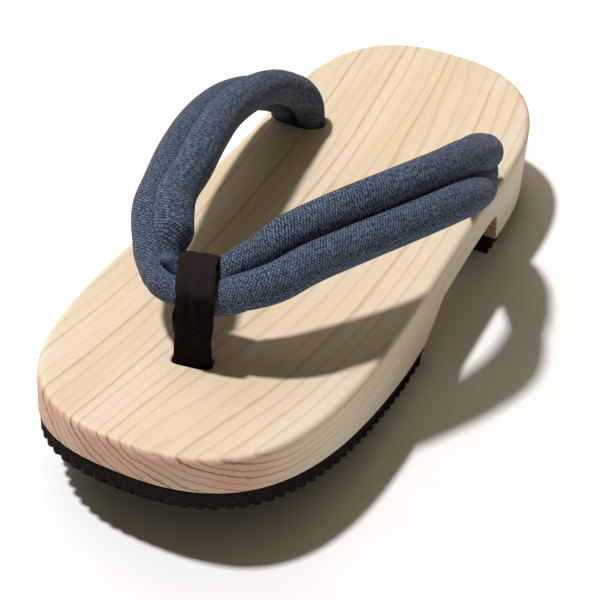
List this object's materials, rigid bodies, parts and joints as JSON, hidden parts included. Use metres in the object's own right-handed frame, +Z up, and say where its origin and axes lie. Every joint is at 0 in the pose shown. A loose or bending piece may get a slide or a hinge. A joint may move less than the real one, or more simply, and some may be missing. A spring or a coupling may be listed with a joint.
{
  "type": "geta sandal",
  "caption": "Wooden platform sandal: arched softwood base with rubber soles, padded two-lobed cloth V strap and a velvet toe thong.",
  "frame": {"origin": "on the floor, under the middle of the whole sandal's box", "axes": "+Z up, toe towards -Y, heel towards +Y, +X towards the wearer's left"},
  "size_m": [0.1074, 0.25, 0.0783],
  "materials": {
    "cedar": "bare planed cedar, satin, with lengthwise growth rings",
    "sole_rubber": "matt black rubber with a fine crosswise tread",
    "strap_cloth": "navy woven cotton, padded, matt",
    "thong_velvet": "black-brown velvet"
  },
  "bodies": {
    "root": {"base": "cedar", "front_sole": "sole_rubber", "heel_sole": "sole_rubber", "strap": "strap_cloth", "front_thong": "thong_velvet"}
  },
  "joints": []
}
